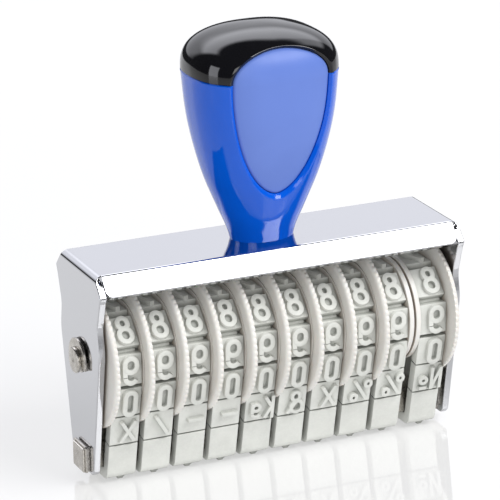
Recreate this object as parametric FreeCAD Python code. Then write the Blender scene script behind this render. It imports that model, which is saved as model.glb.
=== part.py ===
"""Hand-held band numbering stamp: ten thumb wheels, each with an endless rubber band.

The frame of the model: millimetres, X along the wheel axle, +Y to the back, +Z up.
The origin is on the plane of the printing faces, under the middle of the stamp.
"""
import FreeCAD, Part
import math
import os

from FreeCAD import Vector

# Rubber band: twelve cells on a neutral line, in the order that they pass the front
cell_pitch = 9.5
run_cells = 3
hub_sides = 8
band_width = 8.7
band_under = 0.5
band_over = 2.7
web_over = 0.6
web_side_notch = 1.1
cell_gap = 0.4
relief = 1.2
relief_root = 0.3

# Raised characters
glyph_height = 8.7
sign_height = 7.8
glyph_width = 5.0
glyph_shift = 0.7
glyph_stroke_share = 0.29
sign_stroke_share = 0.21

# Thumb wheels
wheel_count = 10
web_thickness = 1.5
rim_radius = 20.3
rim_inner_radius = 16.6
rim_shoulder = 1.2
rim_teeth = 72
tooth_depth = 0.35
seat_side_play = 0.06
thin_flange = 0.7
end_flange = 1.4
flange_radius = 15.4
recess_depth = 0.85
recess_play = 0.3
hub_band_play = 0.3
hub_corner_play = 0.08
wheel_gap = 0.05
end_wheel_gap = 0.7
axle_play = 0.08

# Sheet-metal frame
sheet = 2.0
side_play = 0.65
headroom = 6.15
top_depth = 26.2
lip_drop = 5.4
lip_flare = 4.2
lip_end_gap = 0.15
lip_bend = 1.0
side_bend = 2.3
ear_step = 0.9
waist_depth = 27.4
waist_drop = 15.5
flank_depth = 29.8
flank_rise = 5.6
foot_depth = 15.6
plate_clear_of_print = 3.3
plate_corner = 1.4

# Axle, its clips, and the anvil bar that the bands print over
axle_radius = 3.75
hole_play = 0.08
axle_reach = 2.2
tab_reach = 1.7
groove_width = 0.8
groove_inset = 0.4
groove_depth = 0.8
clip_play = 0.05
axle_clip_radius = 6.3
axle_clip_open_angle = 150.0
anvil_height = 8.0
anvil_side_play = 0.25
anvil_corner = 1.2
tab_height = 7.2
tab_depth = 8.0
tab_lift = 0.15
anvil_clip_stand = 0.7

# Handle, cap and the two egg-shaped inlays
handle_height = 62.6
handle_half_width = 21.7
handle_half_depth = 19.3
cap_share = 0.208
panel_bottom_share = 0.248
panel_top_share = 0.932
panel_widest_share = 0.782
panel_width_share = 0.666
panel_seat_share = 0.5
panel_play = 0.15
panel_inset = 1.5
panel_bevel = 2.0
EGG_POINTS = 24
EGG_TAPER_SHARE = 1.15
spigot_depth = 6.0
spigot_play = 0.1
spigot_width_share = 0.55
spigot_depth_share = 0.42
screw_radius = 2.9
screw_length = 22.0
screw_head_radius = 5.2
screw_head_height = 3.3
screw_socket_radius = 2.3
screw_socket_depth = 1.9
washer_radius = 7.0
washer_thickness = 1.0

# Height share, half-width share, half-depth share and roundness of each body section
BODY_SHARES = (
    (0.0, 0.435, 0.347, 2.0),
    (0.050, 0.474, 0.400, 2.0),
    (0.150, 0.596, 0.530, 2.05),
    (0.300, 0.764, 0.700, 2.2),
    (0.450, 0.877, 0.840, 2.35),
    (0.600, 0.952, 0.940, 2.45),
    (1 - cap_share, 1.0, 1.0, 2.5),
)
# Share of the cap's height at which a section lies; its size follows a dome formula
CAP_LEVEL_SHARES = (0.0, 0.25, 0.48, 0.68, 0.84, 0.94, 1.0)
CAP_TOP_SIZE_SHARE = 0.16
DOME_POWER = 2.9

# What the cells of every band carry, from the printing cell up the front and down the back
SYMBOL_CELL = ""
DIGITS = ("1", None, SYMBOL_CELL, "0", "9", "8", "7", "6", "5", "4", "3", "2")
# The sign in the symbol cell of each band, from the left
SIGNS = ("cross", "slash", "dash", "dash", "kilo", "and", "cross", "percent", "percent", "number")
# Strokes of each character as it reads on paper, in shares of its half width and half height.
# bar: both ends of the middle line. ring: centre, half width and half height. hook: centre, radius, degrees.
STROKE_SHARES = {
    "0": (("ring", 0, 0, 0.9, 1),),
    "1": (("bar", 0, -1, 0, 1), ("bar", -0.7, 0.5, 0, 0.84), ("bar", -0.7, -0.84, 0.7, -0.84)),
    "2": (("hook", 0, 0.38, 0.71, -20, 180), ("bar", -0.71, -0.84, 0.66, 0.24), ("bar", -1, -0.84, 1, -0.84)),
    "3": (("hook", 0, 0.44, 0.64, -90, 160), ("hook", 0, -0.4, 0.71, -160, 90)),
    "4": (("bar", 0.37, -1, 0.37, 1), ("bar", -0.74, -0.32, 0.37, 0.84), ("bar", -1, -0.32, 1, -0.32)),
    "5": (("bar", -0.74, 0.84, 1, 0.84), ("bar", -0.74, 0, -0.74, 1), ("hook", 0, -0.4, 0.71, -160, 140)),
    "6": (("ring", 0, -0.36, 1, 0.64), ("bar", -0.71, -0.3, -0.71, 0.425), ("hook", 0, 0.425, 0.71, 30, 180)),
    "7": (("bar", -1, 0.84, 1, 0.84), ("bar", -0.3, -1, 0.74, 0.84)),
    "8": (("ring", 0, 0.46, 0.86, 0.54), ("ring", 0, -0.38, 1, 0.62)),
    "9": (("ring", 0, 0.36, 1, 0.64), ("bar", 0.71, 0.3, 0.71, -0.425), ("hook", 0, -0.425, 0.71, -150, 0)),
    "cross": (("bar", -0.84, -0.88, 0.84, 0.88), ("bar", -0.84, 0.88, 0.84, -0.88)),
    "slash": (("bar", -0.84, -0.88, 0.84, 0.88),),
    "dash": (("bar", -1, 0, 1, 0),),
    "percent": (("bar", -0.84, -0.88, 0.84, 0.88), ("ring", -0.84, 0.54, 0.56, 0.4), ("ring", 0.84, -0.54, 0.56, 0.4)),
    "and": (("ring", 0.06, 0.52, 0.66, 0.48), ("ring", -0.12, -0.38, 0.88, 0.62), ("bar", -0.1, 0.14, 1, -0.9)),
    "kilo": (("bar", -1.2, -1, -1.2, 1), ("bar", -1.1, 0.05, -0.25, 0.92), ("bar", -1.1, 0.05, -0.25, -0.92),
             ("ring", 0.85, 0.1, 0.66, 0.4125), ("hook", 0.85, -0.38, 0.46, -160, 0), ("bar", 1.31, -0.4, 1.31, 0.5)),
    "number": (("bar", -1.2, -0.96, -1.2, 0.96), ("bar", -0.1, -0.96, -0.1, 0.96), ("bar", -1.2, 0.88, -0.1, -0.88),
               ("ring", 0.95, -0.1, 0.62, 0.3875), ("bar", 0.45, -0.78, 1.45, -0.78)),
}

overrun = 1.0

# Sizes worked out from the values above
digit_stroke = glyph_width * glyph_stroke_share
sign_stroke = glyph_width * sign_stroke_share
glyph_middle = band_width / 2 + glyph_shift
half_cell = cell_pitch / 2
apothem = half_cell / math.tan(math.pi / hub_sides)
run_drop = math.sqrt((run_cells * cell_pitch) ** 2 - (apothem - half_cell) ** 2)
foot_z = relief + band_over
axle_z = foot_z + run_drop + half_cell
seat = band_width + 2 * seat_side_play
wheel_pitch = web_thickness + seat + wheel_gap
end_wheel = web_thickness + seat + end_flange
stack = (wheel_count - 2) * wheel_pitch + 2 * end_wheel + end_wheel_gap
stack_left = -stack / 2
inner_half = stack / 2 + side_play
outer_half = inner_half + sheet
top_z = axle_z + rim_radius + headroom + sheet
under_z = top_z - sheet
top_half = top_depth / 2
lip_z = top_z - lip_drop
lip_inset = sheet * math.tan(math.atan2(lip_drop, lip_flare) / 2)
ear_half = top_half + lip_flare
hub_apothem = apothem - band_under - hub_band_play
hub_corner_radius = apothem - band_under - hub_corner_play
anvil_bottom = foot_z + band_under
tab_bottom = plate_clear_of_print + tab_lift
parting_z = top_z + handle_height * (1 - cap_share)
cap_top_z = top_z + handle_height
panel_half_width = handle_half_width * panel_width_share
panel_seat_y = handle_half_depth * panel_seat_share
X_AXIS = Vector(1, 0, 0)
Y_AXIS = Vector(0, 1, 0)
Z_AXIS = Vector(0, 0, 1)

os.makedirs("parts", exist_ok=True)


def export(shape, node):
    """Write one named piece."""
    shape.exportStep("parts/" + node + ".step")


def block(x0, x1, y0, y1, z0, z1):
    """A box between two corners."""
    return Part.makeBox(x1 - x0, y1 - y0, z1 - z0, Vector(x0, y0, z0))


def rod(radius, x0, x1, z=axle_z):
    """A cylinder along the axle's direction."""
    return Part.makeCylinder(radius, x1 - x0, Vector(x0, 0, z), X_AXIS)


def face_yz(points, x):
    """A flat face at x from corners given as (y, z)."""
    corners = [Vector(x, y, z) for y, z in points]
    return Part.Face(Part.makePolygon(corners + corners[:1]))


def prism_yz(points, x0, x1):
    """A prism along X from corners given as (y, z)."""
    return face_yz(points, x0).extrude(Vector(x1 - x0, 0, 0))


def both_sides(half):
    """Close an outline that is given for +y only, from its top to its bottom."""
    return [(y, z) for y, z in half] + [(-y, z) for y, z in reversed(half)]


# The band's neutral line: its corners, from the front foot over the wheel to the back foot
NEUTRAL = (
    (-half_cell, foot_z),
    (-apothem, axle_z - half_cell),
    (-apothem, axle_z + half_cell),
    (-half_cell, axle_z + apothem),
    (half_cell, axle_z + apothem),
    (apothem, axle_z + half_cell),
    (apothem, axle_z - half_cell),
    (half_cell, foot_z),
)


def direction(a, b):
    """Unit vector from a to b, and the outward normal on its left."""
    length = math.hypot(b[0] - a[0], b[1] - a[1])
    along = ((b[0] - a[0]) / length, (b[1] - a[1]) / length)
    return along, (-along[1], along[0])


def offset_loop(points, distance):
    """A closed convex outline moved outwards, with sharp corners."""
    moved = []
    count = len(points)
    for i in range(count):
        before = direction(points[i - 1], points[i])[1]
        after = direction(points[i], points[(i + 1) % count])[1]
        scale = distance / (1 + before[0] * after[0] + before[1] * after[1])
        moved.append((points[i][0] + (before[0] + after[0]) * scale,
                      points[i][1] + (before[1] + after[1]) * scale))
    return moved


def cells():
    """Middle, direction and normal of each band cell, the printing cell first."""
    places = []
    count = len(NEUTRAL)
    for i in range(-1, count - 1):
        a, b = NEUTRAL[i], NEUTRAL[i + 1]
        along, normal = direction(a, b)
        length = math.hypot(b[0] - a[0], b[1] - a[1])
        parts = int(round(length / cell_pitch))
        for k in range(parts):
            s = (k + 1 / 2) * length / parts
            middle = (a[0] + along[0] * s, a[1] + along[1] * s)
            places.append((middle, along, normal))
    return places


# Strokes of the raised characters, in the plane of a cell: u to the right, v up
def flat_face(edges):
    return Part.Face(Part.Wire(edges))


def bar(stroke, u0, v0, u1, v1):
    """A straight stroke with square ends."""
    across = direction((u0, v0), (u1, v1))[1]
    side = Vector(across[0], across[1], 0) * (stroke / 2)
    start, end = Vector(u0, v0, 0), Vector(u1, v1, 0)
    return Part.Face(Part.makePolygon([start + side, end + side, end - side, start - side, start + side]))


def oval(u, v, half_width, half_height):
    """A filled shape of two straight sides and two half circles, or a circle."""
    r = min(half_width, half_height)
    c = Vector(u, v, 0)
    if abs(half_width - half_height) < r / 100:
        return flat_face([Part.Circle(c, Z_AXIS, r).toShape()])
    upright = half_height > half_width
    rise = Vector(0, half_height - r, 0) if upright else Vector(half_width - r, 0, 0)
    side = Vector(r, 0, 0) if upright else Vector(0, -r, 0)
    tip = Vector(0, r, 0) if upright else Vector(r, 0, 0)
    return flat_face([
        Part.LineSegment(c - rise + side, c + rise + side).toShape(),
        Part.Arc(c + rise + side, c + rise + tip, c + rise - side).toShape(),
        Part.LineSegment(c + rise - side, c - rise - side).toShape(),
        Part.Arc(c - rise - side, c - rise - tip, c - rise + side).toShape(),
    ])


def ring(stroke, u, v, half_width, half_height):
    """A closed round stroke."""
    return oval(u, v, half_width, half_height).cut(oval(u, v, half_width - stroke, half_height - stroke))


def hook(stroke, u, v, radius, start, end):
    """A stroke along a circular arc, from start to end in degrees."""
    def at(r, degrees):
        angle = math.radians(degrees)
        return Vector(u + r * math.cos(angle), v + r * math.sin(angle), 0)
    outer = radius + stroke / 2
    inner = radius - stroke / 2
    middle = (start + end) / 2
    return flat_face([
        Part.Arc(at(outer, start), at(outer, middle), at(outer, end)).toShape(),
        Part.LineSegment(at(outer, end), at(inner, end)).toShape(),
        Part.Arc(at(inner, end), at(inner, middle), at(inner, start)).toShape(),
        Part.LineSegment(at(inner, start), at(outer, start)).toShape(),
    ])


def strokes(name):
    """The strokes of one character as flat faces."""
    is_sign = name in SIGNS
    w, h = glyph_width / 2, (sign_height if is_sign else glyph_height) / 2
    stroke = sign_stroke if is_sign else digit_stroke
    faces = []
    for kind, u, v, third, fourth, *end in STROKE_SHARES[name]:
        if kind == "bar":
            faces.append(bar(stroke, u * w, v * h, third * w, fourth * h))
        elif kind == "ring":
            faces.append(ring(stroke, u * w, v * h, third * w, fourth * h))
        else:
            faces.append(hook(stroke, u * w, v * h, third * w, fourth, end[0]))
    return faces


def glyph(name):
    """A character's strokes as solids, reversed left to right as on a stamp."""
    solids = []
    for face in strokes(name):
        reversed_face = face.mirror(Vector(0, 0, 0), X_AXIS)
        solids.append(reversed_face.extrude(Vector(0, 0, relief + relief_root)))
    return solids


def raised(name, place, x_middle):
    """A character on the outer face of one cell, its top towards the next cell up the front."""
    middle, along, normal = place
    base = band_over - relief_root
    right = X_AXIS
    up = Vector(0, along[0], along[1])
    out = Vector(0, normal[0], normal[1])
    origin = Vector(x_middle, middle[0], middle[1]) + out * base
    turn = FreeCAD.Placement(FreeCAD.Matrix(right.x, up.x, out.x, origin.x,
                                            right.y, up.y, out.y, origin.y,
                                            right.z, up.z, out.z, origin.z))
    solids = glyph(name)
    for solid in solids:
        solid.Placement = turn
    return solids


def band_foot():
    """The two cells beside the printing cell, that cell, and the round corners between them."""
    places = cells()
    reach = half_cell - cell_gap / 2
    ends = []
    for number, s in ((1, reach), (len(places) - 1, -reach)):
        middle, along, normal = places[number]
        ends.append([Vector(0, middle[0] + along[0] * s + normal[0] * n,
                            middle[1] + along[1] * s + normal[1] * n) for n in (band_over, -band_under)])
    front, rear = ends
    run = direction(NEUTRAL[0], NEUTRAL[1])[1]
    edges = []
    corners = []
    for side in (-1, 1):
        corner = Vector(0, side * half_cell, foot_z)
        down = corner + Vector(0, 0, -band_over)
        flank = corner + Vector(0, -side * run[0] * band_over, run[1] * band_over)
        bisector = (down + flank) * (1 / 2) - corner
        edges.append(Part.Arc(down, corner + bisector * (band_over / bisector.Length), flank).toShape())
        corners.append((down, flank))
    inner = offset_loop(NEUTRAL, -band_under)
    inner_front, inner_rear = Vector(0, *inner[0]), Vector(0, *inner[-1])
    lines = ((corners[0][0], corners[1][0]), (corners[1][1], rear[0]), (rear[0], rear[1]), (rear[1], inner_rear),
             (inner_rear, inner_front), (inner_front, front[1]), (front[1], front[0]), (front[0], corners[0][1]))
    edges += [Part.LineSegment(a, b).toShape() for a, b in lines]
    return flat_face(Part.__sortEdges__(edges)).extrude(Vector(band_width, 0, 0))


def plain_band():
    """A rubber band with its left edge at x = 0: a web all round, twelve thick cells, ten digits."""
    outer = prism_yz(offset_loop(NEUTRAL, web_over), web_side_notch, band_width - web_side_notch)
    inner = prism_yz(offset_loop(NEUTRAL, -band_under), -overrun, band_width + overrun)
    pieces = [band_foot()]
    places = cells()
    reach = half_cell - cell_gap / 2
    for middle, along, normal in places[2:-1]:
        corners = []
        for s, n in ((-reach, -band_under), (reach, -band_under), (reach, band_over), (-reach, band_over)):
            corners.append((middle[0] + along[0] * s + normal[0] * n,
                            middle[1] + along[1] * s + normal[1] * n))
        pieces.append(prism_yz(corners, 0, band_width))
    for name, place in zip(DIGITS, places):
        if name:
            pieces += raised(name, place, glyph_middle)
    return outer.cut(inner).fuse(pieces).removeSplitter()


def bands():
    """The ten bands, alike but for the sign in their symbol cell."""
    plain = plain_band()
    symbol_place = cells()[DIGITS.index(SYMBOL_CELL)]
    made = []
    for sign, place in zip(SIGNS, wheel_places()):
        whole = plain.fuse(raised(sign, symbol_place, glyph_middle)).removeSplitter()
        whole.translate(Vector(place[-1], 0, 0))
        made.append(whole)
    return made


def polygon_rod(sides, inner_radius, x0, x1):
    """A regular prism along X about the axle, with a flat on each side of the top."""
    corner = inner_radius / math.cos(math.pi / sides)
    points = []
    for k in range(sides):
        angle = math.pi / sides + 2 * math.pi * k / sides
        points.append((corner * math.sin(angle), axle_z + corner * math.cos(angle)))
    return prism_yz(points, x0, x1)


def toothed_disc():
    """The finger-grip rim: a disc with pointed teeth, from x = 0 inwards."""
    points = []
    for k in range(2 * rim_teeth):
        radius = rim_radius - tooth_depth * (k % 2)
        angle = math.pi * k / rim_teeth
        points.append((radius * math.sin(angle), axle_z + radius * math.cos(angle)))
    return prism_yz(points, 0, web_thickness)


def shoulder_envelope():
    """A round body that gives the rim's outer edge its rounded shoulder."""
    r = rim_shoulder
    bend = r * (1 - math.cos(math.pi / 4))
    top = axle_z + rim_radius
    a = Vector(0, 0, axle_z)
    b = Vector(0, 0, top - r)
    middle = Vector(bend, 0, top - bend)
    c = Vector(r, 0, top)
    d = Vector(web_thickness, 0, top)
    e = Vector(web_thickness, 0, axle_z)
    outline = flat_face([
        Part.LineSegment(a, b).toShape(), Part.Arc(b, middle, c).toShape(), Part.LineSegment(c, d).toShape(),
        Part.LineSegment(d, e).toShape(), Part.LineSegment(e, a).toShape(),
    ])
    return outline.revolve(Vector(0, 0, axle_z), X_AXIS, 360)


def wheel(rim, flange, has_recess):
    """A wheel with its rim at x = 0. Its hub has eight flats with round corners that clear the band."""
    hub_end = web_thickness + seat + flange
    web = rod(rim_inner_radius + rim_shoulder, 0, web_thickness)
    hub = polygon_rod(hub_sides, hub_apothem, 0, hub_end).common(rod(hub_corner_radius, 0, hub_end))
    end = rod(flange_radius, web_thickness + seat, hub_end)
    body = rim.fuse([web, hub, end])
    if has_recess:
        body = body.cut(rod(flange_radius + recess_play, -overrun, recess_depth))
    return body.cut(rod(axle_radius + axle_play, -overrun, hub_end + overrun)).removeSplitter()


def wheel_places():
    """Rim face, direction, flange and recess of each wheel, then the left edge of its band."""
    places = []
    for k in range(wheel_count - 1):
        x_outer = stack_left + k * wheel_pitch
        flange = thin_flange if k < wheel_count - 2 else end_flange
        places.append((x_outer, 1, flange, k > 0, x_outer + web_thickness + seat_side_play))
    last_band = -stack_left - web_thickness - seat_side_play - band_width
    places.append((-stack_left, -1, end_flange, False, last_band))
    return places


def wheels():
    """The ten wheels; the last one is turned about, with its rim at the right-hand side plate."""
    rim = toothed_disc().common(shoulder_envelope())
    rim = rim.cut(rod(rim_inner_radius, -overrun, web_thickness + overrun))
    kinds = {}
    made = []
    for x_outer, inward, flange, has_recess, band_left in wheel_places():
        kind = (flange, has_recess)
        if kind not in kinds:
            kinds[kind] = wheel(rim, flange, has_recess)
        body = kinds[kind].copy()
        if inward < 0:
            body.rotate(Vector(0, 0, 0), Z_AXIS, 180)
        body.translate(Vector(x_outer, 0, 0))
        made.append(body)
    return made


def long_edges(shape, axis, test):
    """The straight edges along an axis whose middle passes a test."""
    found = []
    for edge in shape.Edges:
        if abs(edge.tangentAt(edge.FirstParameter).dot(axis)) > 1 / 2 and test(edge.CenterOfMass):
            found.append(edge)
    return found


def arch(half, depth, low, high, bend):
    """A block with its two upper edges rounded, seen from the front as an arch."""
    body = block(-half, half, -depth, depth, low, high)
    edges = long_edges(body, Y_AXIS, lambda middle: middle.z > (low + high) / 2)
    return body.makeFillet(bend, edges)


def side_outline():
    """The side plates' outline, with the width of the top plate at its upper end."""
    foot = foot_depth / 2
    return both_sides([
        (top_half, top_z),
        (top_half, under_z),
        (ear_half, lip_z),
        (ear_half - ear_step, lip_z - 2 * ear_step),
        (waist_depth / 2, top_z - waist_drop),
        (flank_depth / 2, axle_z + flank_rise),
        (foot, plate_clear_of_print + plate_corner),
        (foot - plate_corner, plate_clear_of_print),
    ])


def lip(sign):
    """A flange that bends down and outwards along the front or the back of the top plate."""
    lip_half = inner_half - lip_end_gap
    slope = math.hypot(lip_flare, lip_drop)
    in_y = sheet * lip_drop / slope
    in_z = sheet * lip_flare / slope
    root = top_half - 2 * sheet
    outline = [(root, top_z), (top_half, top_z), (ear_half, lip_z), (ear_half - in_y, lip_z - in_z),
               (top_half - lip_inset, under_z), (root, under_z)]
    body = prism_yz([(sign * y, z) for y, z in outline], -lip_half, lip_half)
    return round_top(body)


def round_top(body):
    """Round the edges where the top plate bends into its lips."""
    edges = long_edges(body, X_AXIS, lambda middle: middle.z > top_z - sheet / 2
                       and abs(middle.y) > top_half - sheet)
    return body.makeFillet(lip_bend, edges)


def frame():
    """The chromed frame: top plate, two lips and two side plates, bent from one sheet."""
    outer = arch(outer_half, ear_half, plate_clear_of_print, top_z, side_bend)
    inner = arch(inner_half, ear_half + overrun, plate_clear_of_print - overrun, under_z, side_bend - sheet)
    outline = round_top(prism_yz(side_outline(), -outer_half, outer_half))
    lips = lip(-1).fuse(lip(1)).common(outer)
    body = outer.cut(inner).common(outline).fuse(lips)
    body = body.cut(rod(axle_radius + hole_play, -outer_half - overrun, outer_half + overrun))
    slot = tab_depth / 2 + hole_play
    body = body.cut(block(-outer_half - overrun, outer_half + overrun, -slot, slot,
                          plate_clear_of_print - overrun, tab_bottom + tab_height + hole_play))
    screw_hole = Part.makeCylinder(screw_radius + hole_play, sheet + 2 * overrun, Vector(0, 0, under_z - overrun))
    return body.cut(screw_hole).removeSplitter()


def groove_span(side):
    """Where the clip groove lies along X, from the inner to the outer edge."""
    near = outer_half + groove_inset
    return sorted((side * near, side * (near + groove_width)))


def wheel_axle():
    """The steel axle with a groove near each end."""
    reach = outer_half + axle_reach
    body = rod(axle_radius, -reach, reach)
    for side in (-1, 1):
        x0, x1 = groove_span(side)
        groove = rod(axle_radius + overrun, x0, x1).cut(rod(axle_radius - groove_depth, x0, x1))
        body = body.cut(groove)
    return body


def axle_clip(side):
    """A snap ring with its mouth downwards, in the axle's groove."""
    x0, x1 = groove_span(side)
    x0, x1 = x0 + clip_play, x1 - clip_play
    ring_body = rod(axle_clip_radius, x0, x1).cut(rod(axle_radius - groove_depth + clip_play, x0, x1))
    half_open = math.radians(axle_clip_open_angle / 2)
    reach = axle_clip_radius * 2
    mouth = [(0, axle_z), (reach * math.sin(half_open), axle_z - reach * math.cos(half_open)),
             (0, axle_z - reach), (-reach * math.sin(half_open), axle_z - reach * math.cos(half_open))]
    return ring_body.cut(prism_yz(mouth, x0 - overrun, x1 + overrun))


def anvil_bar():
    """The bar that carries the printing cells, with a tab in the open slot of each side plate."""
    half = half_cell - anvil_side_play
    bar_body = block(-inner_half, inner_half, -half, half, anvil_bottom, anvil_bottom + anvil_height)
    long_edges = [e for e in bar_body.Edges if abs(e.tangentAt(e.FirstParameter).x) > 1 / 2]
    bar_body = bar_body.makeFillet(anvil_corner, long_edges)
    tab = tab_depth / 2
    for side in (-1, 1):
        root, tip = sorted((side * stack / 2, side * (outer_half + tab_reach)))
        bar_body = bar_body.fuse(block(root, tip, -tab, tab, tab_bottom, tab_bottom + tab_height))
        x0, x1 = groove_span(side)
        sleeve = block(x0, x1, -tab - overrun, tab + overrun, tab_bottom - overrun, tab_bottom + tab_height + overrun)
        core = block(x0, x1, groove_depth - tab, tab - groove_depth, tab_bottom - overrun,
                     tab_bottom + tab_height - groove_depth)
        bar_body = bar_body.cut(sleeve.cut(core))
    return bar_body.removeSplitter()


def anvil_clip(side):
    """A flat U-shaped clip that drops over the bar's grooved tab."""
    x0, x1 = groove_span(side)
    x0, x1 = x0 + clip_play, x1 - clip_play
    outer = tab_depth / 2 + anvil_clip_stand
    inner = tab_depth / 2 - groove_depth + clip_play
    top = tab_bottom + tab_height
    saddle = block(x0, x1, -outer, outer, tab_bottom + clip_play, top + anvil_clip_stand)
    mouth = block(x0 - overrun, x1 + overrun, -inner, inner, tab_bottom - overrun, top - groove_depth + clip_play)
    return saddle.cut(mouth)


def round_section(z, half_width, half_depth, roundness):
    """A closed smooth curve between an ellipse and a rounded rectangle."""
    points = []
    steps = 20
    for k in range(steps):
        angle = 2 * math.pi * k / steps
        c, s = math.cos(angle), math.sin(angle)
        x = half_width * math.copysign(abs(c) ** (2 / roundness), c)
        y = half_depth * math.copysign(abs(s) ** (2 / roundness), s)
        points.append(Vector(x, y, z))
    curve = Part.BSplineCurve()
    curve.interpolate(Points=points, PeriodicFlag=True)
    return Part.Wire(curve.toShape())


def dome_size(level):
    """How far the cap's outline has drawn in at a share of its height."""
    return max(CAP_TOP_SIZE_SHARE, math.sqrt(max(0, 1 - level ** DOME_POWER)))


def handle_size(z):
    """The handle's half width, half depth and roundness at a height."""
    if z > parting_z:
        size = dome_size((z - parting_z) / (cap_top_z - parting_z))
        return handle_half_width * size, handle_half_depth * size, BODY_SHARES[-1][3]
    share = (z - top_z) / handle_height
    for low, high in zip(BODY_SHARES, BODY_SHARES[1:]):
        if share <= high[0]:
            break
    t = (share - low[0]) / (high[0] - low[0])
    width, depth, roundness = [low[k] + (high[k] - low[k]) * t for k in (1, 2, 3)]
    return handle_half_width * width, handle_half_depth * depth, roundness


def handle_form(levels, inset):
    """A smooth solid through the handle's sections, drawn in towards the middle plane by inset."""
    sections = []
    for z in levels:
        half_width, half_depth, roundness = handle_size(z)
        sections.append(round_section(z, half_width, half_depth - inset, roundness))
    return Part.makeLoft(sections, True, False)


def lower_form(inset):
    """The handle's outer form up to the parting line."""
    return handle_form([top_z + share[0] * handle_height for share in BODY_SHARES[:-1]] + [parting_z], inset)


def upper_form(inset):
    """The cap's outer form, from the parting line to its flat top."""
    return handle_form([parting_z + level * (cap_top_z - parting_z) for level in CAP_LEVEL_SHARES], inset)


def egg_outline():
    """Points of the inlay's outline and its outward normals: an ellipse above, a taper below."""
    widest = top_z + panel_widest_share * handle_height
    rise = top_z + panel_top_share * handle_height - widest
    drop = widest - top_z - panel_bottom_share * handle_height
    points = []
    for k in range(EGG_POINTS):
        angle = 2 * math.pi * k / EGG_POINTS
        c, s = math.cos(angle), math.sin(angle)
        reach = abs(c) if s > 0 else abs(c) ** EGG_TAPER_SHARE
        points.append((math.copysign(panel_half_width * reach, c), widest + s * (rise if s > 0 else drop)))
    normals = []
    for k in range(EGG_POINTS):
        before, after = points[k - 1], points[(k + 1) % EGG_POINTS]
        length = math.hypot(after[0] - before[0], after[1] - before[1])
        normals.append(((after[1] - before[1]) / length, (before[0] - after[0]) / length))
    return zip(points, normals)


def inlay_depth(x, z):
    """How far behind the middle plane the rear inlay's surface lies."""
    half_width, half_depth, roundness = handle_size(z)
    return (half_depth - panel_inset) * max(0, 1 - abs(x / half_width) ** roundness) ** (1 / roundness)


def egg_wire(y, grow, slope=0):
    """The inlay's outline at y. With a slope it widens with y, and is grow wide on the inlay's edge."""
    corners = []
    for (x, z), (out_x, out_z) in egg_outline():
        offset = grow + slope * (y - inlay_depth(x, z))
        corners.append(Vector(x + out_x * offset, y, z + out_z * offset))
    curve = Part.BSplineCurve()
    curve.interpolate(Points=corners, PeriodicFlag=True)
    return Part.Wire(curve.toShape())


def egg_prism(grow):
    """The space of the rear inlay, from its seat to beyond the handle's surface."""
    return Part.Face(egg_wire(panel_seat_y, grow)).extrude(Vector(0, handle_half_depth, 0))


def bevel_space():
    """The sloped space by which the handle's surface runs down to the rear inlay's edge."""
    slope = panel_bevel / panel_inset
    depths = [inlay_depth(x, z) for (x, z), outward in egg_outline()]
    lowest = min(depths)
    beyond = max(depths) + 2 * panel_inset
    return Part.makeLoft([egg_wire(lowest, panel_play, slope), egg_wire(beyond, panel_play, slope)], True, True)


def front_copy(shape):
    """The same shape at the front."""
    return shape.mirror(Vector(0, 0, 0), Y_AXIS)


def spigot(play):
    """The cap's plug, or with play the socket that takes it."""
    half_x = handle_half_width * spigot_width_share + play
    half_y = handle_half_depth * spigot_depth_share + play
    section = round_section(parting_z - spigot_depth - play, half_x, half_y, 2.0)
    return Part.Face(section).extrude(Vector(0, 0, spigot_depth + play + overrun))


def handle_pieces():
    """The blue body, the black cap and the front and rear inlays."""
    inlay_space = egg_prism(0)
    rear = lower_form(panel_inset).common(inlay_space)
    rear = rear.fuse(upper_form(panel_inset).common(inlay_space)).removeSplitter()
    pockets = [egg_prism(panel_play), bevel_space()]
    pockets += [front_copy(space) for space in pockets]
    lower, upper = lower_form(0), upper_form(0)
    for space in pockets:
        lower, upper = lower.cut(space), upper.cut(space)
    lower = lower.cut(spigot(spigot_play))
    upper = upper.fuse(spigot(0))
    hole_depth = screw_length - sheet - washer_thickness
    hole = Part.makeCylinder(screw_radius + hole_play, hole_depth + overrun, Vector(0, 0, top_z))
    return lower.cut(hole), upper, front_copy(rear), rear


def handle_screw():
    """A socket-head screw from under the top plate up into the handle."""
    head_top = under_z - washer_thickness
    shank = Part.makeCylinder(screw_radius, screw_length, Vector(0, 0, head_top))
    head = Part.makeCylinder(screw_head_radius, screw_head_height, Vector(0, 0, head_top - screw_head_height))
    corner = screw_socket_radius / math.cos(math.pi / 6)
    points = []
    for k in range(6):
        angle = math.pi * k / 3
        points.append(Vector(corner * math.cos(angle), corner * math.sin(angle), head_top - screw_head_height))
    socket = Part.Face(Part.makePolygon(points + points[:1])).extrude(Vector(0, 0, screw_socket_depth))
    return shank.fuse(head).cut(socket).removeSplitter()


def screw_washer():
    """The washer under the screw's head."""
    low = Vector(0, 0, under_z - washer_thickness)
    ring_body = Part.makeCylinder(washer_radius, washer_thickness, low)
    return ring_body.cut(Part.makeCylinder(screw_radius + hole_play, washer_thickness, low))


export(frame(), "frame")
handle_body, handle_cap, front_panel, rear_panel = handle_pieces()
export(handle_body, "handle_body")
export(handle_cap, "handle_cap")
export(front_panel, "front_panel")
export(rear_panel, "rear_panel")
export(handle_screw(), "handle_screw")
export(screw_washer(), "screw_washer")
export(wheel_axle(), "wheel_axle")
export(anvil_bar(), "anvil_bar")
for side, word in ((-1, "left"), (1, "right")):
    export(axle_clip(side), "axle_clip_" + word)
    export(anvil_clip(side), "anvil_clip_" + word)
for index, (wheel_body, band_body) in enumerate(zip(wheels(), bands())):
    number = "%02d" % (index + 1)
    export(wheel_body, "number_wheel_" + number)
    export(band_body, "number_band_" + number)
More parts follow.
